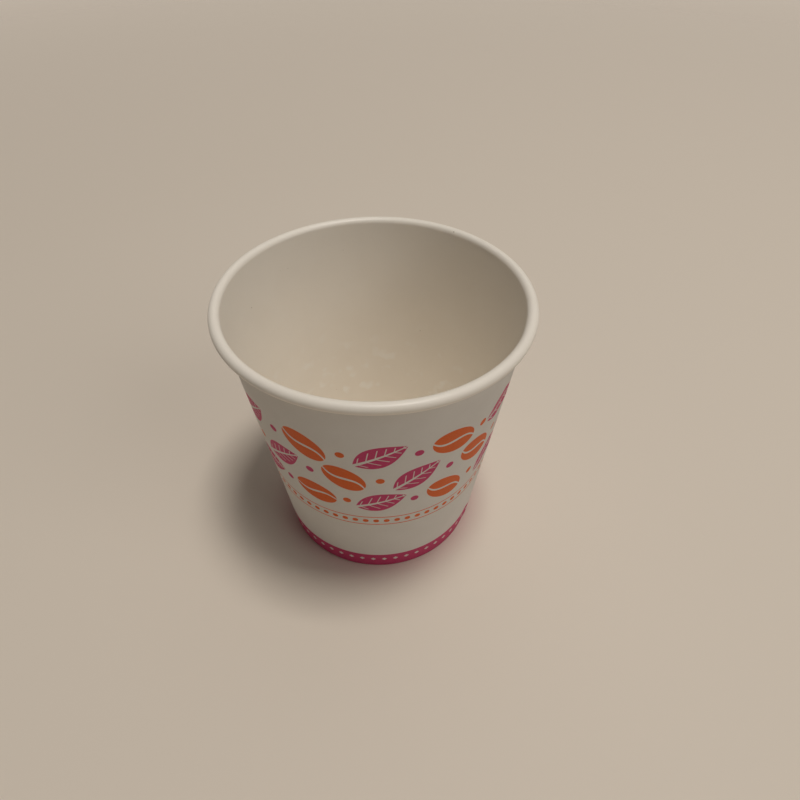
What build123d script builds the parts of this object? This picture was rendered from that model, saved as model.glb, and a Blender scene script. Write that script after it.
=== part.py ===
"""Small single-wall paper coffee cup, made of two pieces of coated paperboard.

The side wall is one sheet: rolled into a cone with a glued lap seam, curled outwards into the rim,
and turned in at the foot as a hem. The bottom is a disc with a turned-down skirt, pinched in that hem.
Millimetres, +Z up, origin at the middle of the foot on the table, side seam on the +X side.
"""

import os
from math import asin, atan2, cos, degrees, hypot, radians, sin, tan

from build123d import *

# Overall sizes
rim_diameter = 62.0
base_diameter = 45.0
cup_height = 61.0

# Side wall sheet
board_thickness = 0.3
rim_roll_diameter = 2.2
roll_clearance = 0.06

# Turns of the rolled rim: angles in degrees about their centres, and how many fine flats draw each face
first_turn_end = -60.0
second_turn_sweep = 120.0
outside_flat_count = 13
inside_flat_count = 5
tuck_flat_count = 2

# Lap seam, measured round the foot
seam_lap = 6.0
seam_ramp = 2.4

# Bottom disc, and the seal between its skirt and the sheet
bottom_recess = 6.2
disc_thickness = 0.28
disc_bend = 0.4
seal_clearance = 0.05

# Turned-in hem at the foot, which stops short of the bend of the disc
hem_clearance = 0.8
hem_floor_height = 0.8

# Rolled rim: centre of its first turn in the half-section (radius, height)
roll_radius = rim_roll_diameter / 2
roll_inside = roll_radius - board_thickness
roll_centre = (rim_diameter / 2 - roll_radius, cup_height - roll_radius)

# Lean of the wall: its outer face runs from the foot to the inside of the roll
base_radius = base_diameter / 2
foot_to_roll = (roll_centre[0] - base_radius, roll_centre[1])
wall_lean = atan2(*foot_to_roll) - asin(roll_inside / hypot(*foot_to_roll))
wall_width = board_thickness / cos(wall_lean)

# The plain lapped cone lies between the hem's floor and the underside of the roll
wall_bottom = hem_floor_height
wall_top = cup_height - rim_roll_diameter

# Pocket of the hem that holds the skirt of the bottom disc
hem_height = bottom_recess - disc_bend - hem_clearance
seal_width = seal_clearance / cos(wall_lean)
skirt_width = disc_thickness / cos(wall_lean)
pocket_width = skirt_width + 2 * seal_width

# Angles of the seam: the inner end of the sheet, the outer end, and the start of the ramp
inner_end = -degrees(seam_lap / base_radius) / 2
outer_end = -inner_end
ramp_start = inner_end - degrees(seam_ramp / base_radius)

# Half-section through the middle of the ramp, in which the rim and the hem are drawn
ramp_plane = Plane.XZ.rotated((0, 0, (ramp_start + inner_end) / 2))


def outer_radius(height):
    """Radius of the wall's outer face at a height."""
    return base_radius + height * tan(wall_lean)


def inner_radius(height):
    """Radius of the wall's inner face at a height."""
    return outer_radius(height) - wall_width


def skirt_radius(height):
    """Radius of the outside of the bottom's skirt, sealed to the wall, at a height."""
    return inner_radius(height) - seal_width


def polar(radius, angle):
    """Point at a radius and an angle in degrees."""
    return (radius * cos(radians(angle)), radius * sin(radians(angle)))


def on_roll(centre, radius, angle):
    """Point of a turn of the roll, at an angle in degrees about its centre."""
    across, up = polar(radius, angle)
    return (centre[0] + across, centre[1] + up)


def outer_outline(height):
    """Sketch of the lapped sheet's outside: one turn, a ramp on to the lap, and the lap's cut edge."""
    radius = outer_radius(height)
    raised = radius + wall_width
    with BuildSketch(Plane.XY.offset(height)) as outline:
        with BuildLine():
            CenterArc((0, 0), radius, outer_end, 360 + ramp_start - outer_end)
            Line(polar(radius, ramp_start), polar(raised, inner_end))
            CenterArc((0, 0), raised, inner_end, outer_end - inner_end)
            Line(polar(raised, outer_end), polar(radius, outer_end))
        make_face()
    return outline.sketch


def inner_outline(height):
    """Sketch of the lapped sheet's inside: one turn, a ramp outwards, and the cut edge of the inner end."""
    radius = inner_radius(height)
    raised = radius + wall_width
    with BuildSketch(Plane.XY.offset(height)) as outline:
        with BuildLine():
            CenterArc((0, 0), radius, inner_end, 360 + ramp_start - inner_end)
            Line(polar(radius, ramp_start), polar(raised, inner_end))
            Line(polar(raised, inner_end), polar(radius, inner_end))
        make_face()
    return outline.sketch


def turn_flats(centre, radius, start, sweep, count):
    """Corners of a turn of the roll, drawn in equal flats from a start angle."""
    return [on_roll(centre, radius, start + sweep * step / count) for step in range(count + 1)]


# Second turn of the roll, tighter, so that it tucks in beside the wall
first_turn_start = 180 - degrees(wall_lean)
first_turn = (first_turn_start, first_turn_end - first_turn_start)
tuck = board_thickness + roll_clearance
second_radius = roll_radius - tuck / (1 + cos(radians(first_turn_end) + wall_lean))
second_inside = second_radius - board_thickness
second_centre = on_roll(roll_centre, roll_radius - second_radius, first_turn_end)
second_turn = (first_turn_end, -second_turn_sweep)

with BuildPart() as side_wall:
    # Lapped cone of one sheet
    loft([outer_outline(wall_bottom), outer_outline(wall_top)], ruled=True)
    loft([inner_outline(wall_bottom), inner_outline(wall_top)], ruled=True, mode=Mode.SUBTRACT)

    # Rolled rim, curled outwards by more than one turn
    with BuildSketch(ramp_plane):
        with BuildLine():
            Polyline(
                *turn_flats(roll_centre, roll_radius, *first_turn, outside_flat_count),
                *turn_flats(second_centre, second_radius, *second_turn, tuck_flat_count)[1:],
                *turn_flats(second_centre, second_inside, *second_turn, tuck_flat_count)[::-1],
                *turn_flats(roll_centre, roll_inside, *first_turn, inside_flat_count)[-2::-1],
                (outer_radius(wall_top), wall_top),
                (inner_radius(wall_top), wall_top),
                close=True,
            )
        make_face()
    revolve(axis=Axis.Z)

    # Hem, turned in at the foot and up behind the skirt of the bottom disc
    with BuildSketch(ramp_plane) as hem:
        with BuildLine():
            Polyline(
                (outer_radius(0), 0),
                (inner_radius(0) - pocket_width - wall_width, 0),
                (inner_radius(hem_height) - pocket_width - wall_width, hem_height),
                (inner_radius(hem_height) - pocket_width, hem_height),
                (inner_radius(board_thickness) - pocket_width, board_thickness),
                (inner_radius(board_thickness), board_thickness),
                (inner_radius(hem_floor_height), hem_floor_height),
                (outer_radius(hem_floor_height), hem_floor_height),
                close=True,
            )
        make_face()
        chamfer(hem.vertices().group_by(Axis.Y)[0], length=board_thickness)
    revolve(axis=Axis.Z)

side_wall.part.label = "side_wall"

# Bottom disc: its upper face, the foot of its skirt, and the outside of the bend between them
disc_top = bottom_recess + disc_thickness
skirt_end = board_thickness + seal_clearance
bend_length = disc_bend + disc_thickness

with BuildPart() as bottom_disc:
    with BuildSketch(Plane.XZ) as section:
        with BuildLine():
            Polyline(
                (0, disc_top),
                (skirt_radius(disc_top), disc_top),
                (skirt_radius(skirt_end), skirt_end),
                (skirt_radius(skirt_end) - skirt_width, skirt_end),
                (skirt_radius(bottom_recess) - skirt_width, bottom_recess),
                (0, bottom_recess),
                close=True,
            )
        make_face()
        chamfer(section.vertices().group_by(Axis.Y)[-2].sort_by(Axis.X)[-1], length=disc_bend)
        chamfer(section.vertices().group_by(Axis.Y)[-1].sort_by(Axis.X)[-1], length=bend_length)
    revolve(axis=Axis.Z)

bottom_disc.part.label = "bottom_disc"

os.makedirs("parts", exist_ok=True)
export_step(side_wall.part, "parts/side_wall.step")
export_step(bottom_disc.part, "parts/bottom_disc.step")
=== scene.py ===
"""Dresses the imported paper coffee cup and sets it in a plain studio.

The cup is two sheets of coated board. The side wall is rolled into a cone with a glued lap seam, curled
outwards into the rim and turned in at the foot. The bottom is pinched in that fold. Each sheet is a closed
surface with its real thickness, worked out from the frame's boxes and a few sizes of the board.
Metres, +Z up, lap seam on the +X side.
"""

import logging
from collections.abc import Callable
from dataclasses import dataclass
from enum import Enum
from math import asin, atan2, cos, hypot, pi, radians, sin, tan, tau
from typing import Any, NamedTuple

import bpy
import numpy as np
from mathutils import Matrix, Vector


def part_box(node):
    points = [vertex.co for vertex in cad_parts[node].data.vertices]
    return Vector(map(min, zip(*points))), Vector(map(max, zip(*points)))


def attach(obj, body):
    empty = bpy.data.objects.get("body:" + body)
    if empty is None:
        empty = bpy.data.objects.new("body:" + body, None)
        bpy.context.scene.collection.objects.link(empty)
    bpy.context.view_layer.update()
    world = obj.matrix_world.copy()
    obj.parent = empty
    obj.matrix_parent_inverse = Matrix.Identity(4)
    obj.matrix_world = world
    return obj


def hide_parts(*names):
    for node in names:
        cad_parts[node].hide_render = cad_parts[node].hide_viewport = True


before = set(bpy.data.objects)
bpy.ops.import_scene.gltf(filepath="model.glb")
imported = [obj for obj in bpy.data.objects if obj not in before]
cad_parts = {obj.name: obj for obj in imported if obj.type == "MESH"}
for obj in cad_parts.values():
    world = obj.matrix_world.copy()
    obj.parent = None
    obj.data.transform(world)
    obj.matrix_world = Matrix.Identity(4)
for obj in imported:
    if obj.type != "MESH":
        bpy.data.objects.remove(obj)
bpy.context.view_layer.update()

MM = 0.001
INK_EDGE = 0.07 * MM
FLAT_MAP = "OFBake"
LOG = logging.getLogger("paper_cup")

Colour = tuple[float, float, float, float]
Triple = tuple[float, float, float]
Span = tuple[float, float]


def linear(*shown: int) -> Colour:
    """Turns a colour as a screen shows it into the linear colour that a shader takes.

    The curve is that of sRGB: a short straight stretch, then a power.

    Args:
        shown: Red, green and blue, from 0 to 255.

    Returns:
        The linear colour, opaque.
    """
    share = np.array(shown) / 255
    plain = np.where(share > 0.04045, ((share + 0.055) / 1.055) ** 2.4, share / 12.92)
    return (*plain.tolist(), 1.0)


def smooth_step(values: np.ndarray, start: float, end: float) -> np.ndarray:
    """Rises from 0 at start to 1 at end, which may lie below it, as s * s * (3 - 2 s) of the share s."""
    share = np.clip((values - start) / (end - start), 0.0, 1.0)
    return share * share * (3 - 2 * share)


def ring_points(radii: np.ndarray, heights: np.ndarray, angles: np.ndarray) -> np.ndarray:
    """Points at radii and heights, turned about the upright to the columns' angles."""
    return np.stack([radii * np.cos(angles), radii * np.sin(angles), heights], axis=-1)


def into_scene(name: str, content: bpy.types.ID) -> bpy.types.Object:
    """Makes an object and links it to the scene.

    Args:
        name: Name of the object.
        content: Its mesh, lamp or camera.

    Returns:
        The object.
    """
    made = bpy.data.objects.new(name, content)
    bpy.context.scene.collection.objects.link(made)
    return made


class Face(Enum):
    """Faces of a sheet of cup board, numbered as its material slots."""

    BOARD = 0
    FILM = 1
    EDGE = 2


class Strip(Enum):
    """Strips of a sheet's flat map, each from its lower to its upper place."""

    BOARD = (0.02, 0.47)
    FAR_CUT = (0.485, 0.495)
    FILM = (0.53, 0.98)
    NEAR_CUT = (0.99, 0.998)

    def at(self, share: np.ndarray) -> np.ndarray:
        """Places at shares of the strip's width."""
        return np.interp(share, (0, 1), self.value)


class Ink(Enum):
    """Inks of the print, as linear colours."""

    ORANGE = linear(226, 98, 10)
    MAGENTA = linear(200, 50, 106)


def arithmetic(operation: str) -> tuple[Callable, Callable]:
    """Makes an operator of wires, which adds a Math node.

    Args:
        operation: Operation of the node.

    Returns:
        The operator, and its reflected form with the number first.
    """

    def plain(wire: "Wire", other: "Number") -> "Wire":
        """The wire first."""
        return wire.nodes.maths(operation, wire, other)

    def reflected(wire: "Wire", other: "Number") -> "Wire":
        """The number first."""
        return wire.nodes.maths(operation, other, wire)

    return plain, reflected


class Wire:
    """A number inside a shader: one socket, on which arithmetic adds Math nodes."""

    def __init__(self, nodes: "Nodes", socket: bpy.types.NodeSocket) -> None:
        """Wraps a socket of a shader's nodes."""
        self.nodes = nodes
        self.socket = socket

    __add__, __radd__ = arithmetic("ADD")
    __sub__, __rsub__ = arithmetic("SUBTRACT")
    __mul__, __rmul__ = arithmetic("MULTIPLY")
    __truediv__, __rtruediv__ = arithmetic("DIVIDE")
    __mod__, __rmod__ = arithmetic("FLOORED_MODULO")

    def __abs__(self) -> "Wire":
        """Size without sign."""
        return self.nodes.maths("ABSOLUTE", self)


Number = float | Wire


class Nodes:
    """Nodes of a material or of the world, added by expressions."""

    def __init__(self, owner: bpy.types.Material | bpy.types.World) -> None:
        """Switches on the nodes.

        Args:
            owner: Material or world that they belong to.
        """
        owner.use_nodes = True
        self.owner = owner
        self.tree = owner.node_tree

    def node(self, kind: str, settings: dict[str, Any], sockets: dict[int | str, Any]) -> bpy.types.Node:
        """Adds a node of any kind.

        Args:
            kind: Blender's type name of the node.
            settings: Properties of the node, which are set first.
            sockets: Values or links of its inputs, by name or number.

        Returns:
            The node.
        """
        node = self.tree.nodes.new(kind)
        for name, value in settings.items():
            setattr(node, name, value)
        for key, value in sockets.items():
            self.feed(node.inputs[key], value)
        return node

    def feed(self, socket: bpy.types.NodeSocket, value: Any) -> None:
        """Links a wire or a socket to an input, or sets a plain value on it.

        Args:
            socket: The input.
            value: Wire, socket or plain value.
        """
        if isinstance(value, Wire):
            value = value.socket
        if isinstance(value, bpy.types.NodeSocket):
            self.tree.links.new(value, socket)
        else:
            socket.default_value = value

    def maths(self, operation: str, *values: Number) -> Wire:
        """Adds a Math node for an operation on values, and gives its result."""
        node = self.node("ShaderNodeMath", {"operation": operation}, dict(enumerate(values)))
        return Wire(self, node.outputs[0])

    def point(self) -> bpy.types.NodeSocket:
        """Gives the place of the surface in the cup's own frame."""
        return self.node("ShaderNodeTexCoord", {}, {}).outputs["Object"]

    def place(self) -> tuple[Wire, ...]:
        """Gives x, y and z of the surface in the cup's own frame."""
        parts = self.node("ShaderNodeSeparateXYZ", {}, {0: self.point()})
        return tuple(Wire(self, output) for output in parts.outputs)

    def noise(self, grain: float, detail: float = 2.0, stretch: Triple = (1.0, 1.0, 1.0)) -> Wire:
        """Adds cloudy noise from 0 to 1, about one half.

        Args:
            grain: Size of its clouds in metres.
            detail: How many finer layers it has.
            stretch: How much longer the clouds are along x, y and z.

        Returns:
            The noise.
        """
        scale = [1 / (grain * part) for part in stretch]
        scaled = self.node("ShaderNodeVectorMath", {"operation": "MULTIPLY"}, {0: self.point(), 1: scale})
        sockets = {"Vector": scaled.outputs[0], "Scale": 1.0, "Detail": detail}
        return Wire(self, self.node("ShaderNodeTexNoise", {}, sockets).outputs[0])

    def length(self, across: Number, along: Number) -> Wire:
        """Root of the sum of two squares."""
        return self.maths("SQRT", across * across + along * along)

    def fill(self, distance: Wire, edge: float) -> Wire:
        """Mask that is 1 where a distance is below zero and 0 above it, and one half at zero.

        Args:
            distance: Distance out of the shape.
            edge: Width over which the mask falls.

        Returns:
            The mask.
        """
        settings = {"operation": "MULTIPLY_ADD", "use_clamp": True}
        node = self.node("ShaderNodeMath", settings, {0: distance, 1: -1 / edge, 2: 0.5})
        return Wire(self, node.outputs[0])

    def mix(self, share: Number, first: Any, second: Any) -> bpy.types.NodeSocket:
        """Mixes two colours by the second's share. Only numbers tell the Mix node's colour sockets apart."""
        return self.node("ShaderNodeMix", {"data_type": "RGBA"}, {0: share, 6: first, 7: second}).outputs[2]

    def bump(self, height: Wire, depth: float) -> bpy.types.NodeSocket:
        """Turns a height from 0 to 1 into a relief of a depth in metres."""
        return self.node("ShaderNodeBump", {}, {"Height": height, "Distance": depth}).outputs[0]


class Paint(Nodes):
    """One material with a Principled shader."""

    def __init__(self, name: str) -> None:
        """Starts the material."""
        super().__init__(bpy.data.materials.new(name))
        self.shader = self.tree.nodes["Principled BSDF"]

    def dress(self, **sockets: Any) -> bpy.types.Material:
        """Feeds the shader.

        Args:
            sockets: Values or links of the shader's inputs, with _ for the blanks in their names.

        Returns:
            The finished material.
        """
        for name, value in sockets.items():
            self.feed(self.shader.inputs[name.replace("_", " ")], value)
        return self.owner


@dataclass(frozen=True)
class CupSizes:
    """Sizes of the cup's half-section that both sheets share, in metres."""

    rim_radius: float
    height: float
    disc_top: float
    foot_radius: float = 22.5 * MM
    board: float = 0.3 * MM
    disc_board: float = 0.28 * MM
    seal_gap: float = 0.05 * MM
    roll_radius: float = 1.1 * MM

    @classmethod
    def from_frame(cls) -> "CupSizes":
        """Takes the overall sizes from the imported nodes.

        Returns:
            The sizes.
        """
        wall_low, wall_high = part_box("side_wall")
        disc_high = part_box("bottom_disc")[1]
        return cls((wall_high[0] - wall_low[0]) / 2, wall_high[2], disc_high[2])

    @property
    def roll_centre(self) -> np.ndarray:
        """Centre of the rolled rim, as radius and height."""
        return np.array([self.rim_radius, self.height]) - self.roll_radius

    @property
    def roll_middle(self) -> float:
        """Radius of the sheet's middle line in the first turn of the roll."""
        return self.roll_radius - self.board / 2

    @property
    def lean(self) -> float:
        """Angle of the wall from upright: its outer face runs from the foot to the inside of the roll."""
        across, up = self.roll_centre - np.array([self.foot_radius, 0.0])
        return atan2(across, up) - asin((self.roll_radius - self.board) / hypot(across, up))

    def wall_radius(self, height: float, depth: float = 0.0) -> float:
        """Radius of the wall at a height, for a line at a depth square to its outer face."""
        return self.foot_radius + height * tan(self.lean) - depth / cos(self.lean)


@dataclass(frozen=True)
class Unevenness:
    """Small departures of a rolled paper cone from true round, shared by both sheets.

    A wave is a count round the cup, a depth and a phase.
    """

    cup_height: float
    waves: tuple[tuple[int, float, float], ...] = (
        (2, 0.11 * MM, 0.6),
        (3, 0.06 * MM, 2.1),
        (5, 0.03 * MM, 4.0),
        (8, 0.014 * MM, 1.3),
    )
    sag: float = 0.06 * MM
    sag_count: int = 3
    sag_power: int = 4

    def outwards(self, angles: np.ndarray, heights: np.ndarray) -> np.ndarray:
        """Shift of the radius: cosines of a few counts round the cup, which grow with the height."""
        counts, depths, phases = (np.array(part)[:, None, None] for part in zip(*self.waves))
        return (depths * np.cos(counts * angles + phases)).sum(axis=0) * (heights / self.cup_height)

    def upwards(self, angles: np.ndarray, heights: np.ndarray) -> np.ndarray:
        """Shift of the height: a raised cosine round the cup, times a power of the share of its height."""
        dips = (1 + np.cos(self.sag_count * angles)) / 2
        return -self.sag * dips * (heights / self.cup_height) ** self.sag_power


@dataclass(frozen=True)
class LapSeam:
    """Glued lap of the side wall: angles round the cup of its cut ends, and of the ramp on to it.

    A cut end is drawn by two columns, each at the cut angle from it. Other columns stay clear of it.
    """

    inner_end: float
    outer_end: float
    ramp_start: float
    cut_angle: float = 0.0005
    clear_angle: float = 0.002

    @classmethod
    def at_foot(cls, foot_radius: float, lap: float = 6.0 * MM, ramp: float = 2.4 * MM) -> "LapSeam":
        """Lays a lap of a width across the +X side, and a ramp before it, both measured round the foot."""
        half = lap / foot_radius / 2
        return cls(-half, half, -half - ramp / foot_radius)

    def columns(self, count: int) -> np.ndarray:
        """Angles of the mesh's columns: even steps, with a close pair at each cut end.

        Args:
            count: Number of even steps.

        Returns:
            The angles in rising order.
        """
        ends = np.array([self.inner_end, self.outer_end])
        even = np.linspace(-pi, pi, count, endpoint=False)
        clear = np.abs(even[:, None] - ends).min(axis=1) > self.clear_angle
        return np.sort(np.concatenate([even[clear], ends - self.cut_angle, ends + self.cut_angle]))

    def outside(self, angles: np.ndarray) -> np.ndarray:
        """Share of the board's thickness that the outer face stands proud: ramp, lap, then the cut."""
        return smooth_step(angles, self.ramp_start, self.inner_end) * (angles < self.outer_end)

    def inside(self, angles: np.ndarray) -> np.ndarray:
        """Share of the board's thickness that the inner face falls back: ramp, then the cut."""
        return smooth_step(angles, self.ramp_start, self.inner_end) * (angles < self.inner_end)

    def is_cut(self, angles: np.ndarray, end: float) -> np.ndarray:
        """True for the columns of mesh, by the angle they start at, whose faces are that cut end."""
        return np.abs(angles + self.cut_angle - end) < self.cut_angle / 2


class Run(NamedTuple):
    """One stretch of a sheet's middle line: straight, or an arc where it turns, positive to the left."""

    length: float
    turn: float
    steps: int


def straight(length: float, steps: int) -> Run:
    """Run that goes straight on."""
    return Run(length, 0.0, steps)


def bend(radius: float, turn: float, steps: int) -> Run:
    """Run that turns by an angle on a radius."""
    return Run(radius * abs(turn), turn, steps)


@dataclass(frozen=True)
class SheetLine:
    """Middle line of a sheet in the half-section: points, headings and the way gone, at each step."""

    points: np.ndarray
    headings: np.ndarray
    travel: np.ndarray

    @classmethod
    def walk(cls, heading: float, runs: list[Run]) -> "SheetLine":
        """Walks the runs from the origin.

        A step turns by its share of the run's angle. It moves by the chord of its arc, which is the arc's
        length times the sine of half the turn over half the turn, along the mean of its two headings.

        Args:
            heading: Direction at the start, from the radius towards the height.
            runs: The runs in order.

        Returns:
            The line.
        """
        counts = [run.steps for run in runs]
        turns = np.repeat([run.turn / run.steps for run in runs], counts)
        arcs = np.repeat([run.length / run.steps for run in runs], counts)
        headings = heading + np.append(0.0, np.cumsum(turns))
        towards = headings[:-1] + turns / 2
        chords = arcs * np.sinc(turns / tau)
        moves = chords[:, None] * np.column_stack([np.cos(towards), np.sin(towards)])
        points = np.vstack([np.zeros(2), np.cumsum(moves, axis=0)])
        return cls(points, headings, np.append(0.0, np.cumsum(arcs)))

    def moved(self, shift: np.ndarray) -> "SheetLine":
        """The same line, shifted."""
        return SheetLine(self.points + shift, self.headings, self.travel)

    def rights(self) -> np.ndarray:
        """Unit vectors to the right of the line, which is the board's side."""
        return np.column_stack([np.sin(self.headings), -np.cos(self.headings)])


@dataclass(frozen=True)
class SheetOutline:
    """Outline of a sheet's section: the board face along its middle line, then the film face back."""

    points: np.ndarray
    board_ward: np.ndarray
    on_board: np.ndarray
    travel: np.ndarray

    @classmethod
    def around(cls, line: SheetLine, thickness: float) -> "SheetOutline":
        """Offsets the line by half the thickness to each side.

        Args:
            line: Middle line.
            thickness: Thickness of the board.

        Returns:
            The outline.
        """
        rights = line.rights()
        faces = [line.points + rights * thickness / 2, (line.points - rights * thickness / 2)[::-1]]
        on_board = np.repeat([True, False], len(line.points))
        travel = np.concatenate([line.travel, line.travel[::-1]])
        return cls(np.vstack(faces), np.vstack([rights, rights[::-1]]), on_board, travel)

    def faces(self) -> np.ndarray:
        """Finds the face that follows each point: board, film, or a cut edge where one turns into the other.

        Returns:
            The faces' numbers.
        """
        after = np.roll(self.on_board, -1)
        same = np.where(self.on_board, Face.BOARD.value, Face.FILM.value)
        return np.where(self.on_board == after, same, Face.EDGE.value)

    def spans(self) -> tuple[np.ndarray, np.ndarray]:
        """Places the faces on the flat map: board, far cut, film and near cut in turn.

        Returns:
            Lower and upper place of each face.
        """
        share = self.travel / self.travel.max()
        place = np.where(self.on_board, Strip.BOARD.at(share), Strip.FILM.at(1 - share))
        cuts = np.where(self.on_board[:, None], Strip.FAR_CUT.value, Strip.NEAR_CUT.value)
        is_cut = self.faces() == Face.EDGE.value
        return np.where(is_cut, cuts[:, 0], place), np.where(is_cut, cuts[:, 1], np.roll(place, -1))


@dataclass(frozen=True)
class RingSurface:
    """Surface of rings round the cup's axis: points by row and column, its flat map and face numbers.

    It is closed when its last ring joins its first. Otherwise centre points close it at both ends.
    """

    points: np.ndarray
    spans: tuple[np.ndarray, np.ndarray]
    across: np.ndarray
    slots: np.ndarray
    closed: bool
    map_margin: float = 0.005
    centre_reach: float = 0.01
    sharp_angle: float = radians(40.0)

    def sides(self) -> tuple[np.ndarray, np.ndarray]:
        """Left and right place of each column of faces on the flat map, inside its margin."""
        places = self.map_margin + (1 - 2 * self.map_margin) * self.across
        return places[:-1], places[1:]

    def fan(self, edge: float, reach: float) -> np.ndarray:
        """Flat map of the triangles to a centre point.

        Args:
            edge: Place of the ring on the flat map.
            reach: How far past it the centre point lies; below zero for the fan before the first ring.

        Returns:
            The map's numbers, corner by corner.
        """
        left, right = self.sides()
        ring = np.full(len(left), edge)
        tip = [(left + right) / 2, ring + reach]
        corners = [*tip, right, ring, left, ring] if reach < 0 else [left, ring, right, ring, *tip]
        return np.stack(corners, axis=-1).ravel()

    def mesh(self, name: str) -> bpy.types.Mesh:
        """Joins neighbouring rings by quads, and an open surface's first and last ring to a centre point.

        Args:
            name: Name of the mesh.

        Returns:
            The mesh, with smooth faces, sharp cut edges and the flat map.
        """
        rows, columns = self.points.shape[:2]
        vertices = self.points.reshape(-1, 3)
        index = np.arange(len(vertices)).reshape(rows, columns)
        ringed = np.vstack([index, index[:1]]) if self.closed else index
        turned = np.roll(ringed, -1, axis=1)
        bands = len(ringed) - 1
        faces = np.stack([ringed[:-1], turned[:-1], turned[1:], ringed[1:]], axis=-1).reshape(-1, 4).tolist()
        slots = self.slots[:bands].ravel()
        low, high = (np.repeat(span[:bands], columns) for span in self.spans)
        left, right = (np.tile(side, bands) for side in self.sides())
        flat = np.stack([left, low, right, low, right, high, left, high], axis=-1).ravel()
        if not self.closed:
            first, last = np.full((2, columns), [[len(vertices)], [len(vertices) + 1]])
            vertices = np.vstack([vertices, self.points[0].mean(axis=0), self.points[-1].mean(axis=0)])
            faces += np.stack([first, turned[0], index[0]], axis=-1).tolist()
            faces += np.stack([index[-1], turned[-1], last], axis=-1).tolist()
            slots = np.concatenate([slots, self.slots[0], self.slots[-1]])
            before = self.fan(self.spans[0][0], -self.centre_reach)
            flat = np.concatenate([flat, before, self.fan(self.spans[1][bands - 1], self.centre_reach)])
        mesh = bpy.data.meshes.new(name)
        mesh.from_pydata(vertices.tolist(), [], faces)
        mesh.polygons.foreach_set("material_index", slots.astype(np.int32))
        mesh.uv_layers.new(name=FLAT_MAP).uv.foreach_set("vector", flat.astype(np.float32))
        mesh.shade_smooth()
        mesh.set_sharp_from_angle(angle=self.sharp_angle)
        mesh.validate()
        return mesh


Finishes = dict[Face, bpy.types.Material]


def as_piece(mesh: bpy.types.Mesh, node: str, finishes: Finishes) -> None:
    """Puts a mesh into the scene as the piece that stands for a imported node.

    Args:
        mesh: The mesh, in the frame's own place.
        node: Name of the node that it stands for.
        finishes: Material of each face of the sheet.
    """
    for face in Face:
        mesh.materials.append(finishes[face])
    piece = into_scene(mesh.name, mesh)
    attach(piece, "root")
    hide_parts(node)
    LOG.info("%s: %d faces", piece.name, len(mesh.polygons))


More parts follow.
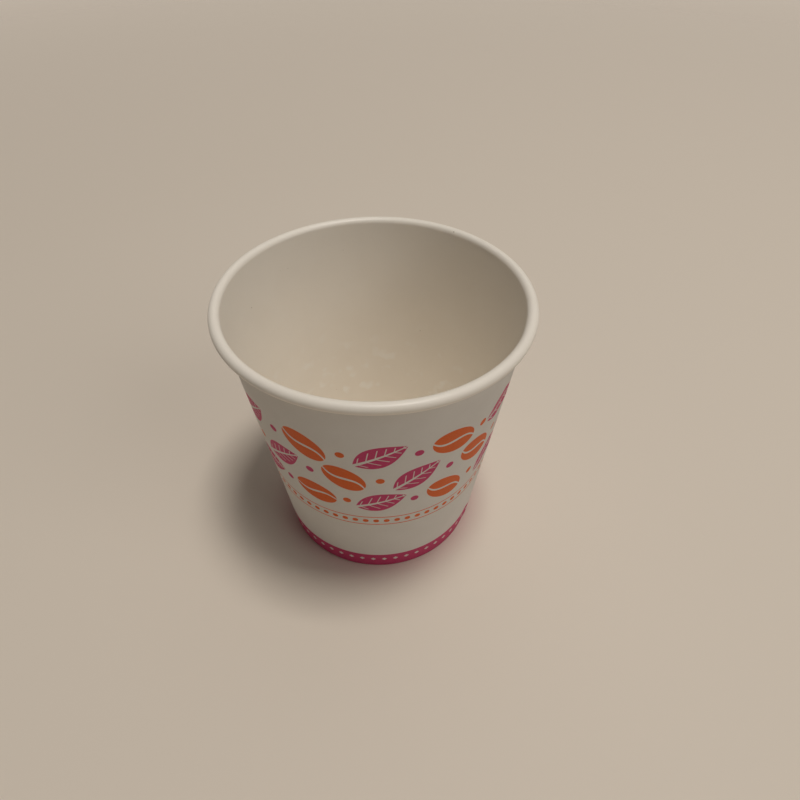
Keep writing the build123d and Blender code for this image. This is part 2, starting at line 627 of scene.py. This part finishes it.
@dataclass(frozen=True)
class SideWall:
    """Side wall of the cup, one sheet from the free end of its hem to the end of its roll."""

    sizes: CupSizes
    seam: LapSeam
    uneven: Unevenness

    # Hem, fold and roll
    hem_height: float = 5.0 * MM
    fold_radius: float = 0.25 * MM
    first_turn: float = radians(233.7)
    second_turn: float = radians(120.0)
    roll_gap: float = 0.06 * MM

    # Lap: its rise above the foot, its end above the foot of the roll, and the roll's swelling over it,
    # as a share of the board that fades by the way to the sheet's end
    lap_foot: Span = (0.5 * MM, 1.1 * MM)
    lap_top: Span = (0.62 * MM, 0.22 * MM)
    roll_swell: float = 0.3
    swell_fade: Span = (3.18 * MM, 5.07 * MM)

    # Grooves pressed into the hem: their rise above the foot, and their end below the hem's top
    groove_count: int = 60
    groove_depth: float = 0.12 * MM
    groove_foot: Span = (0.7 * MM, 1.1 * MM)
    groove_top: Span = (0.2 * MM, 0.6 * MM)

    # Mesh: columns round the cup, stretches with closer rings, and steps of each run
    column_count: int = 420
    foot_zone: float = 1.6 * MM
    rim_zone: float = 2.4 * MM
    hem_steps: int = 10
    fold_steps: int = 8
    fold_flat_steps: int = 2
    foot_steps: int = 5
    wall_steps: int = 18
    rim_steps: int = 12
    first_turn_steps: int = 26
    second_turn_steps: int = 8

    def line(self) -> SheetLine:
        """Middle line: down the hem, round the fold, up the wall and outwards round the roll.

        The fold's flat is what its two bends leave of the pocket, which holds the bottom's skirt between
        two seals. The second turn of the roll is tighter, so that it clears the wall by a gap. The line
        is placed by the centre of the roll.

        Returns:
            The line.
        """
        sizes, lean, fold = self.sizes, self.sizes.lean, self.fold_radius
        pocket = sizes.disc_board + 2 * sizes.seal_gap + sizes.board
        flange = (self.hem_height - sizes.board / 2 - fold * (1 + sin(lean))) / cos(lean)
        top = sizes.roll_centre[1] + sizes.roll_middle * sin(lean)
        wall = (top - sizes.board / 2 - fold * (1 - sin(lean))) / cos(lean)
        end = pi - lean - self.first_turn
        second_radius = sizes.roll_middle - (sizes.board + self.roll_gap) / (1 + cos(end + lean))
        before_roll = [
            straight(flange, self.hem_steps),
            bend(fold, pi / 2 + lean, self.fold_steps),
            straight((pocket - 2 * fold) / cos(lean), self.fold_flat_steps),
            bend(fold, pi / 2 - lean, self.fold_steps),
            straight(self.foot_zone, self.foot_steps),
            straight(wall - self.foot_zone - self.rim_zone, self.wall_steps),
            straight(self.rim_zone, self.rim_steps),
        ]
        roll = [
            bend(sizes.roll_middle, -self.first_turn, self.first_turn_steps),
            bend(second_radius, -self.second_turn, self.second_turn_steps),
        ]
        line = SheetLine.walk(3 * pi / 2 - lean, before_roll + roll)
        start = sum(run.steps for run in before_roll)
        centre = line.points[start] + line.rights()[start] * sizes.roll_middle
        return line.moved(sizes.roll_centre - centre)

    def relief(self, outline: SheetOutline, angles: np.ndarray) -> np.ndarray:
        """How far each point moves towards the board's side: lap seam, swollen roll and pressed hem.

        The lap is full on the wall and dies out at the fold and behind the roll. On the roll the double
        layer only swells the film's side. The hem has even grooves, a raised cosine round the cup.

        Args:
            outline: Outline of the sheet.
            angles: Angles of the columns.

        Returns:
            The shift of each row and column, in metres.
        """
        sizes, on_board, way = self.sizes, outline.on_board, outline.travel
        heights, to_end = outline.points[:, 1], way.max() - way
        over_roll_foot = heights - (sizes.height - 2 * sizes.roll_radius)
        on_hem = way < self.hem_height / cos(sizes.lean)
        before_roll = to_end > self.swell_fade[1]
        upright = ~on_hem & before_roll
        lapped = upright * smooth_step(heights, *self.lap_foot) * smooth_step(over_roll_foot, *self.lap_top)
        swell = smooth_step(over_roll_foot, 0.0, sizes.roll_radius) * smooth_step(to_end, *self.swell_fade)
        outer = np.where(on_board, lapped, -self.roll_swell * swell)
        inner = np.where(on_board, 0.0, lapped)
        lap = np.outer(outer, self.seam.outside(angles)) + np.outer(inner, self.seam.inside(angles))
        pressed = on_hem * on_board * smooth_step(heights, *self.groove_foot)
        pressed = pressed * smooth_step(self.hem_height - heights, *self.groove_top)
        grooves = (1 - np.cos(self.groove_count * angles)) / 2
        return sizes.board * lap - self.groove_depth * np.outer(pressed, grooves)

    def surface(self) -> RingSurface:
        """Carries the outline round the cup, with the relief, and with the unevenness of the cone.

        Returns:
            The closed surface.
        """
        angles = self.seam.columns(self.column_count)
        outline = SheetOutline.around(self.line(), self.sizes.board)
        shift = self.relief(outline, angles)
        radii = outline.points[:, :1] + outline.board_ward[:, :1] * shift
        heights = outline.points[:, 1:] + outline.board_ward[:, 1:] * shift
        uneven_radii = radii + self.uneven.outwards(angles, heights)
        uneven_heights = heights + self.uneven.upwards(angles, heights)
        points = ring_points(uneven_radii, uneven_heights, angles)
        cut_out = self.seam.is_cut(angles, self.seam.outer_end)
        cut_in = self.seam.is_cut(angles, self.seam.inner_end)
        widths = np.diff(np.append(angles, angles[0] + tau)) * self.sizes.foot_radius
        widths = widths + self.sizes.board * (cut_out | cut_in)
        across = np.append(0.0, np.cumsum(widths)) / widths.sum()
        slots = np.repeat(outline.faces()[:, None], len(angles), axis=1)
        stands = np.ptp(shift, axis=1, keepdims=True) > self.sizes.board / 2
        slots[stands & np.where(outline.on_board[:, None], cut_out, cut_in)] = Face.EDGE.value
        return RingSurface(points, outline.spans(), across, slots, closed=True)

    def build(self, finishes: Finishes) -> None:
        """Makes the piece, with a material for each face of the sheet."""
        as_piece(self.surface().mesh("printed_side_wall"), "side_wall", finishes)


@dataclass(frozen=True)
class CupBottom:
    """Bottom of the cup, one sheet from the middle of the disc to the free end of its skirt."""

    sizes: CupSizes
    uneven: Unevenness
    bend_radius: float = 0.54 * MM
    skirt_end: float = 0.37 * MM

    # Dome and ripple of the disc
    dome: float = 0.22 * MM
    ripple: float = 0.2 * MM
    ripple_count: int = 3
    ripple_phase: float = 0.8

    # Mesh: columns round the cup, and steps of each run
    column_count: int = 240
    disc_steps: int = 30
    bend_steps: int = 10
    skirt_steps: int = 8

    def line(self) -> SheetLine:
        """Middle line: out along the disc, round the bend and down the skirt, sealed to the wall.

        Returns:
            The line.
        """
        sizes, lean = self.sizes, self.sizes.lean
        middle = sizes.disc_top - sizes.disc_board / 2
        bend_foot = middle - self.bend_radius * (1 + sin(lean))
        depth = sizes.board + sizes.seal_gap + sizes.disc_board / 2
        flat = sizes.wall_radius(bend_foot, depth) - self.bend_radius * cos(lean)
        runs = [
            straight(flat, self.disc_steps),
            bend(self.bend_radius, -pi / 2 - lean, self.bend_steps),
            straight((bend_foot - self.skirt_end) / cos(lean), self.skirt_steps),
        ]
        return SheetLine.walk(0.0, runs).moved(np.array([0.0, middle]))

    def surface(self) -> RingSurface:
        """Carries the outline round the cup, with a low dome and a slow ripple on the disc.

        The dome is 1 - s * s, squared, of the share s of the foot's radius. The ripple is a cosine round
        the cup, times s * s and the dome.

        Returns:
            The surface, whose middle points close it.
        """
        angles = np.linspace(-pi, pi, self.column_count, endpoint=False)
        outline = SheetOutline.around(self.line(), self.sizes.disc_board)
        rings = slice(1, len(outline.points) - 1)
        section = np.repeat(outline.points[rings, :, None], len(angles), axis=2)
        radii, heights = section[:, 0], section[:, 1]
        share = radii / self.sizes.foot_radius
        dome = np.clip(1 - share * share, 0.0, 1.0) ** 2
        ripple = np.cos(self.ripple_count * angles + self.ripple_phase) * share * share
        disc = heights > self.sizes.disc_top - 2 * self.sizes.disc_board
        heights = heights + disc * dome * (self.dome + self.ripple * ripple)
        points = ring_points(radii + self.uneven.outwards(angles, heights), heights, angles)
        low, high = outline.spans()
        slots = np.repeat(outline.faces()[rings, None], len(angles), axis=1)
        across = np.linspace(0.0, 1.0, len(angles) + 1)
        return RingSurface(points, (low[rings], high[rings]), across, slots, closed=False)

    def build(self, finishes: Finishes) -> None:
        """Makes the piece, with a material for each face of the sheet."""
        as_piece(self.surface().mesh("board_bottom"), "bottom_disc", finishes)


@dataclass(frozen=True)
class BoardFinish:
    """Bare white cup board: matt, with fine fibres and faint clouds."""

    colour: Colour = (0.80, 0.775, 0.735, 1.0)
    shade: Colour = (0.74, 0.71, 0.665, 1.0)

    # Grain, and how far it shades the board
    fibre: float = 0.28 * MM
    cloud: float = 5.0 * MM
    detail: float = 3.0
    fibre_shade: float = 0.5
    cloud_shade: float = 0.9
    unshaded: float = 0.25

    # Surface
    roughness: float = 0.72
    fibre_roughness: float = 0.1
    sheen: float = 0.2
    relief: float = 0.006 * MM

    def board(self, paint: Paint) -> tuple[bpy.types.NodeSocket, Wire]:
        """Colour of the board, and its fibres as a height.

        Args:
            paint: Material to add to.

        Returns:
            The colour and the height.
        """
        fibres = paint.noise(self.fibre, self.detail)
        clouds = paint.noise(self.cloud, self.detail)
        shading = fibres * self.fibre_shade + clouds * self.cloud_shade - self.unshaded
        return paint.mix(shading, self.colour, self.shade), fibres

    def matt(self, fibres: Wire) -> Wire:
        """Roughness of the board, greater on its fibres."""
        return self.roughness + fibres * self.fibre_roughness

    def material(self) -> bpy.types.Material:
        """Makes the material: the plain board, with its fibres as relief.

        Returns:
            The material.
        """
        paint = Paint("bare_board")
        colour, fibres = self.board(paint)
        return paint.dress(
            Base_Color=colour,
            Roughness=self.matt(fibres),
            Specular_IOR_Level=self.sheen,
            Normal=paint.bump(fibres, self.relief),
        )


@dataclass(frozen=True)
class CutEdgeFinish:
    """Raw cut edge of the board: open fibres, a little darker."""

    colour: Colour = (0.76, 0.71, 0.63, 1.0)
    shade: Colour = (0.60, 0.54, 0.45, 1.0)
    fibre: float = 0.12 * MM
    detail: float = 4.0
    roughness: float = 0.92
    relief: float = 0.02 * MM

    def material(self) -> bpy.types.Material:
        """Makes the material: fibres shade the edge and roughen it.

        Returns:
            The material.
        """
        paint = Paint("cut_edge")
        fibres = paint.noise(self.fibre, self.detail)
        colour = paint.mix(fibres, self.colour, self.shade)
        normal = paint.bump(fibres, self.relief)
        return paint.dress(Base_Color=colour, Roughness=self.roughness, Normal=normal)


@dataclass(frozen=True)
class FilmFinish:
    """Board under a thin clear film, inside the cup and over its rim: a soft sheen, slightly wavy."""

    colour: Colour = (0.915, 0.86, 0.775, 1.0)
    shade: Colour = (0.885, 0.82, 0.725, 1.0)

    # Grain, and how far it shades the board
    fibre: float = 0.3 * MM
    peel: float = 0.9 * MM
    wave: float = 7.0 * MM
    crease: float = 9.0 * MM
    crease_flatness: float = 0.14
    fibre_shade: float = 0.3
    wave_shade: float = 0.9
    unshaded: float = 0.2

    # Surface, and what waves, fibres and peel add to it
    roughness: float = 0.36
    wave_roughness: float = 0.16
    fibre_roughness: float = 0.08
    coat: float = 0.1
    wave_coat: float = 0.3
    coat_roughness: float = 0.32
    relief: float = 0.02 * MM
    peel_relief: float = 0.4
    fibre_relief: float = 0.2

    # Glossy spots low down, where their noise is above a level: less rough and more coated, and painted a
    # paler colour as a painted glint
    painted_glint: Colour = (0.955, 0.93, 0.875, 1.0)
    glossy_spot_grain: float = 3.3 * MM
    glossy_spot_detail: float = 1.0
    glossy_spot_level: float = 0.67
    glossy_spot_edge: float = 0.14
    glossy_spot_top: float = 29.0 * MM
    glossy_spot_fade: float = 16.0 * MM
    painted_glint_cover: float = 0.7
    glossy_spot_gloss: float = 0.18
    glossy_spot_coat: float = 0.2

    # Rare dark specks, where their noise is above a level
    speck: Colour = (0.42, 0.34, 0.26, 1.0)
    speck_grain: float = 1.3 * MM
    speck_level: float = 0.79
    speck_edge: float = 0.02
    speck_cover: float = 0.7

    def material(self) -> bpy.types.Material:
        """Makes the material: the skin follows fibres and faint level creases, with glossy spots low down
        that carry a painted glint.

        Returns:
            The material.
        """
        paint = Paint("film_on_board")
        fibres = paint.noise(self.fibre)
        peel = paint.noise(self.peel)
        waves = paint.noise(self.wave)
        creases = paint.noise(self.crease, stretch=(1.0, 1.0, self.crease_flatness))
        low = paint.fill(paint.place()[2] - self.glossy_spot_top, self.glossy_spot_fade)
        spot_noise = paint.noise(self.glossy_spot_grain, self.glossy_spot_detail)
        glossy_spots = paint.fill(self.glossy_spot_level - spot_noise, self.glossy_spot_edge) * low
        specks = paint.fill(self.speck_level - paint.noise(self.speck_grain), self.speck_edge)
        shading = waves * self.wave_shade + fibres * self.fibre_shade - self.unshaded
        colour = paint.mix(shading, self.colour, self.shade)
        colour = paint.mix(specks * self.speck_cover, colour, self.speck)
        rough = self.roughness + waves * self.wave_roughness + fibres * self.fibre_roughness
        skin = peel * self.peel_relief + fibres * self.fibre_relief + creases
        return paint.dress(
            # Painted glint: the spots low down are mixed towards a paler colour that stands in for
            # highlights
            Base_Color=paint.mix(glossy_spots * self.painted_glint_cover, colour, self.painted_glint),
            Roughness=rough - glossy_spots * self.glossy_spot_gloss,
            Coat_Weight=self.coat + waves * self.wave_coat + glossy_spots * self.glossy_spot_coat,
            Coat_Roughness=self.coat_roughness,
            Normal=paint.bump(skin, self.relief),
        )


@dataclass(frozen=True)
class Outside:
    """Outside of the cup, as a print sees it: share of a turn round it, and height."""

    paint: Paint
    sizes: CupSizes
    turn: Wire
    height: Wire

    def cell_width(self, count: int, level: float) -> float:
        """Width of each of a count of equal cells round the cup, at a level."""
        return tau * self.sizes.wall_radius(level) / count

    def from_middle(self, count: int, level: float) -> Wire:
        """Way round the cup from the middle of the cell, for a count of equal cells at a level."""
        return ((self.turn * count) % 1 - 0.5) * self.cell_width(count, level)


@dataclass(frozen=True)
class Bean:
    """Printed coffee bean: an oval, less a slit that is widest in the middle."""

    half_length: float = 4.75 * MM
    half_width: float = 3.2 * MM
    slit_middle: float = 0.4 * MM
    slit_end: float = 0.16 * MM
    slit_swing: float = 0.864 * MM
    slit_turn: float = 0.92 * pi

    def mask(self, paint: Paint, along: Wire, across: Wire) -> Wire:
        """Draws the bean. The slit's line is a sine of the share along it, which makes a flat S.

        Args:
            paint: Material to add to.
            along: Place along the bean.
            across: Place across it.

        Returns:
            The mask.
        """
        share = along / self.half_length
        out = paint.length(share, across / self.half_width)
        oval = paint.fill((out - 1) * self.half_width, INK_EDGE)
        line = paint.maths("SINE", share * self.slit_turn) * self.slit_swing
        width = self.slit_middle - out * (self.slit_middle - self.slit_end)
        return oval * (1 - paint.fill(abs(across - line) - width, INK_EDGE))


@dataclass(frozen=True)
class Leaf:
    """Printed leaf: a pointed blade, less a middle vein and slanting ribs."""

    half_length: float = 5.7 * MM
    half_width: float = 3.0 * MM
    taper: float = 0.22
    vein: float = 0.247 * MM
    vein_taper: float = 0.133 * MM
    rib: float = 0.118 * MM
    rib_pitch: float = 1.9 * MM
    rib_slope: float = 0.85
    rib_reach: float = 0.72

    def mask(self, paint: Paint, along: Wire, across: Wire) -> Wire:
        """Draws the leaf. Its half width is one less the square of the share along it, tapered to the tip.

        Args:
            paint: Material to add to.
            along: Place along the leaf.
            across: Place across it.

        Returns:
            The mask.
        """
        share = along / self.half_length
        side = abs(across)
        half = (1 - share * share) * (1 - share * self.taper) * self.half_width
        blade = paint.fill(side - half, INK_EDGE)
        vein = paint.fill(side - (self.vein - share * self.vein_taper), INK_EDGE)
        combed = (along - side * self.rib_slope) % self.rib_pitch - self.rib_pitch / 2
        ribs = paint.fill(abs(combed) - self.rib, INK_EDGE)
        ribs = ribs * paint.fill(side - half * self.rib_reach, INK_EDGE)
        return blade * (1 - vein) * (1 - ribs)


@dataclass(frozen=True)
class MotifRows:
    """Staggered rows of cells round the cup, each with a bean or a leaf, and berries between them."""

    bean: Bean = Bean()
    leaf: Leaf = Leaf()
    berry: float = 0.85 * MM
    columns: int = 12
    rows: int = 3
    foot: float = 25.6 * MM
    pitch: float = 7.8 * MM

    # Tilt: beans and leaves lean apart, and a sine of the cell's number and row tumbles them
    lean_apart: float = 0.84
    tumble: float = 0.25
    tumble_by_cell: float = 2.4
    tumble_by_row: float = 1.7
    tumble_start: float = 0.6

    def masks(self, outside: Outside) -> tuple[Wire, Wire]:
        """Draws the rows.

        Args:
            outside: Outside of the cup.

        Returns:
            The masks of the two inks, orange and magenta.
        """
        paint = outside.paint
        half_height = self.rows * self.pitch / 2
        middle = self.foot + half_height
        cell_width = outside.cell_width(self.columns, middle)
        level = (outside.height - self.foot) / self.pitch
        row = paint.maths("FLOOR", level)
        place = outside.turn * self.columns + (row % 2) / 2
        cell = paint.maths("FLOOR", place)
        number = cell % self.columns
        x = (place - cell - 0.5) * cell_width
        y = (level - row - 0.5) * self.pitch
        kind = (number + row) % 2
        step = number * self.tumble_by_cell + row * self.tumble_by_row + self.tumble_start
        tilt = paint.maths("SINE", step) * self.tumble + (kind - 0.5) * self.lean_apart
        cosine, sine = paint.maths("COSINE", tilt), paint.maths("SINE", tilt)
        along, across = x * cosine + y * sine, y * cosine - x * sine
        within = paint.fill(abs(outside.height - middle) - half_height, INK_EDGE)
        gap = paint.maths("FLOOR", place + 0.5)
        berries = paint.fill(paint.length((place - gap) * cell_width, y) - self.berry, INK_EDGE) * within
        berry_kind = (gap + row) % 2
        beans = self.bean.mask(paint, along, across) * (1 - kind) * within
        leaves = self.leaf.mask(paint, along, across) * kind * within
        return beans + berries * berry_kind, leaves + berries * (1 - berry_kind)


@dataclass(frozen=True)
class DottedRule:
    """Rule of dots between two fine lines."""

    height: float = 21.9 * MM
    dots: int = 72
    dot: float = 0.62 * MM
    line_gap: float = 1.5 * MM
    line: float = 0.14 * MM

    def mask(self, outside: Outside) -> Wire:
        """Draws the rule.

        Args:
            outside: Outside of the cup.

        Returns:
            The mask.
        """
        paint, up = outside.paint, outside.height - self.height
        x = outside.from_middle(self.dots, self.height)
        dots = paint.fill(paint.length(x, up) - self.dot, INK_EDGE)
        lines = paint.fill(abs(abs(up) - self.line_gap) - self.line, INK_EDGE)
        return paint.maths("MAXIMUM", dots, lines)


@dataclass(frozen=True)
class FootBand:
    """Band at the foot with a row of pale diamonds."""

    top: float = 5.6 * MM
    diamonds: int = 56
    diamond: float = 0.62 * MM
    diamond_height: float = 3.47 * MM

    def mask(self, outside: Outside) -> Wire:
        """Draws the band.

        Args:
            outside: Outside of the cup.

        Returns:
            The mask.
        """
        paint, height = outside.paint, outside.height
        x = outside.from_middle(self.diamonds, 0.0)
        diamonds = paint.fill(abs(x) + abs(height - self.diamond_height) - self.diamond, INK_EDGE)
        return paint.fill(height - self.top, INK_EDGE) * (1 - diamonds)


@dataclass(frozen=True)
class PrintFinish:
    """Printed outside: beans and leaves in rows, a dotted rule below them, and a band at the foot."""

    board: BoardFinish
    sizes: CupSizes
    rows: MotifRows = MotifRows()
    rule: DottedRule = DottedRule()
    band: FootBand = FootBand()

    # Ink: how far fibres fray and thin it, its surface, and how deep under the outer face it still counts
    fray: float = 0.05 * MM
    cover: float = 0.93
    cover_by_fibre: float = 0.1
    ink_roughness: float = 0.48
    ink_relief: float = 0.3
    ink_depth: float = 0.4 * MM
    depth_edge: float = 0.2 * MM

    def material(self) -> bpy.types.Material:
        """Makes the material: ink lies on the outer face only, and takes a little of the board's grain.

        Returns:
            The material.
        """
        paint = Paint("printed_board")
        board, fibres = self.board.board(paint)
        x, y, z = paint.place()
        frayed = z + (fibres - 0.5) * self.fray
        outside = Outside(paint, self.sizes, paint.maths("ARCTAN2", y, x) / tau, frayed)
        orange, magenta = self.rows.masks(outside)
        rule, band = self.rule.mask(outside), self.band.mask(outside)
        wall = z * tan(self.sizes.lean) + (self.sizes.foot_radius - self.ink_depth)
        outer = paint.fill(wall - paint.length(x, y), self.depth_edge)
        cover = (self.cover + fibres * self.cover_by_fibre) * outer
        first, second = (orange + rule) * cover, (magenta + band) * cover
        colour = paint.mix(first, board, Ink.ORANGE.value)
        colour = paint.mix(second, colour, Ink.MAGENTA.value)
        inked = paint.maths("MINIMUM", first + second, 1.0)
        return paint.dress(
            Base_Color=colour,
            Roughness=self.board.matt(fibres) + (self.ink_roughness - self.board.roughness) * inked,
            Specular_IOR_Level=self.board.sheen,
            Normal=paint.bump(fibres + inked * self.ink_relief, self.board.relief),
        )


@dataclass(frozen=True)
class Softbox:
    """Square studio lamp that faces a point."""

    name: str
    place: Triple
    size: float
    power: float
    colour: Triple
    aim: Triple = (0.0, 0.0, 30.0 * MM)

    def build(self, turn: Matrix) -> None:
        """Hangs the lamp.

        Args:
            turn: Turn round the cup that its place is given before.
        """
        lamp = bpy.data.lights.new(self.name, "AREA")
        lamp.size, lamp.energy, lamp.color = self.size, self.power, self.colour
        holder = into_scene(self.name, lamp)
        facing = (Vector(self.aim) - Vector(self.place)).to_track_quat("-Z", "Y")
        holder.matrix_world = turn @ Matrix.Translation(self.place) @ facing.to_matrix().to_4x4()
        LOG.info("lamp %s", self.name)


@dataclass(frozen=True)
class Studio:
    """Pale floor that fades into a pale backdrop, soft light from above, and the photograph's camera."""

    # Floor, which fades out round a radius
    floor_radius: float = 1.0
    floor_corners: int = 96
    fade_radius: float = 0.5
    fade_width: float = 0.6
    floor_colour: Colour = (0.78, 0.695, 0.595, 1.0)
    floor_roughness: float = 0.7

    # Light
    backdrop_colour: Colour = (0.54, 0.465, 0.385, 1.0)
    sky_colour: Colour = (1.0, 0.965, 0.92, 1.0)
    sky_strength: float = 0.05
    lamps: tuple[Softbox, ...] = (
        Softbox("main_lamp", (0.191, -0.045, 1.3), size=0.28, power=7.3, colour=(1.0, 0.955, 0.895)),
        Softbox("ceiling_lamp", (0.15, 0.45, 1.1), size=1.2, power=1.7, colour=(1.0, 0.965, 0.925)),
        Softbox("side_lamp", (0.7, -0.45, 0.7), size=0.6, power=1.6, colour=(1.0, 0.965, 0.925)),
    )

    # Camera, fitted to the photograph
    view_turn: float = radians(15.0)
    camera_place: Triple = (0.0, -93.62 * MM, 124.69 * MM)
    camera_yaw: float = radians(3.048)
    camera_pitch: float = radians(44.616)
    camera_roll: float = radians(0.386)
    camera_lens: float = 26.42
    sensor_width: float = 36.0
    clip_start: float = 1.0 * MM

    def round_cup(self) -> Matrix:
        """Turn of the view and its lamps round the cup, which brings the seam to the right-hand outline."""
        return Matrix.Rotation(self.view_turn, 4, "Z")

    def floor_material(self) -> bpy.types.Material:
        """Makes the matt floor, which turns clear away from the cup and lets the backdrop through.

        Returns:
            The material.
        """
        paint = Paint("pale_floor")
        x, y, _ = paint.place()
        cover = paint.fill(paint.length(x, y) - self.fade_radius, self.fade_width)
        return paint.dress(Base_Color=self.floor_colour, Roughness=self.floor_roughness, Alpha=cover)

    def build_floor(self) -> None:
        """Floor: a level disc."""
        angles = np.linspace(-pi, pi, self.floor_corners, endpoint=False)
        radii = np.full(self.floor_corners, self.floor_radius)
        corners = ring_points(radii, np.zeros(self.floor_corners), angles)
        mesh = bpy.data.meshes.new("floor")
        mesh.from_pydata(corners.tolist(), [], [list(range(self.floor_corners))])
        mesh.materials.append(self.floor_material())
        floor = into_scene("floor", mesh)
        LOG.info("floor")

    def build_light(self) -> None:
        """Sky and lamps: a main one high on the right, a wide one above and behind, a weak one at the side.

        The camera, and what mirrors, see the backdrop's colour in place of the weak sky.
        """
        world = Nodes(bpy.data.worlds.new("studio"))
        path = world.node("ShaderNodeLightPath", {}, {})
        seen = (Wire(world, path.outputs[f"Is {kind} Ray"]) for kind in ("Camera", "Glossy", "Transmission"))
        share = world.maths("MINIMUM", sum(seen), 1.0)
        sky = world.tree.nodes["Background"]
        world.feed(sky.inputs["Color"], world.mix(share, self.sky_colour, self.backdrop_colour))
        world.feed(sky.inputs["Strength"], self.sky_strength + share * (1 - self.sky_strength))
        bpy.context.scene.world = world.owner
        for lamp in self.lamps:
            lamp.build(self.round_cup())

    def build_camera(self) -> None:
        """Camera: turned by the yaw about the upright, tipped down by the pitch, then rolled."""
        camera = bpy.data.cameras.new("camera")
        camera.lens, camera.sensor_width = self.camera_lens, self.sensor_width
        camera.clip_start = self.clip_start
        holder = into_scene("camera", camera)
        holder.matrix_world = (
            self.round_cup()
            @ Matrix.Translation(self.camera_place)
            @ Matrix.Rotation(-self.camera_yaw, 4, "Z")
            @ Matrix.Rotation(pi / 2 - self.camera_pitch, 4, "X")
            @ Matrix.Rotation(self.camera_roll, 4, "Z")
        )
        bpy.context.scene.camera = holder
        LOG.info("camera")

    def build(self) -> None:
        """Sets up the whole studio."""
        bpy.context.scene.view_settings.view_transform = "Standard"
        self.build_floor()
        self.build_light()
        self.build_camera()


def main() -> None:
    """Builds the cup's two sheets and the studio, in order."""
    logging.basicConfig(level=logging.INFO, format="%(message)s")
    sizes = CupSizes.from_frame()
    uneven = Unevenness(sizes.height)
    bare = BoardFinish()
    film, edge = FilmFinish().material(), CutEdgeFinish().material()
    printed = PrintFinish(bare, sizes).material()
    seam = LapSeam.at_foot(sizes.foot_radius)
    SideWall(sizes, seam, uneven).build({Face.BOARD: printed, Face.FILM: film, Face.EDGE: edge})
    CupBottom(sizes, uneven).build({Face.BOARD: bare.material(), Face.FILM: film, Face.EDGE: edge})
    Studio().build()


if __name__ == "__main__":
    main()
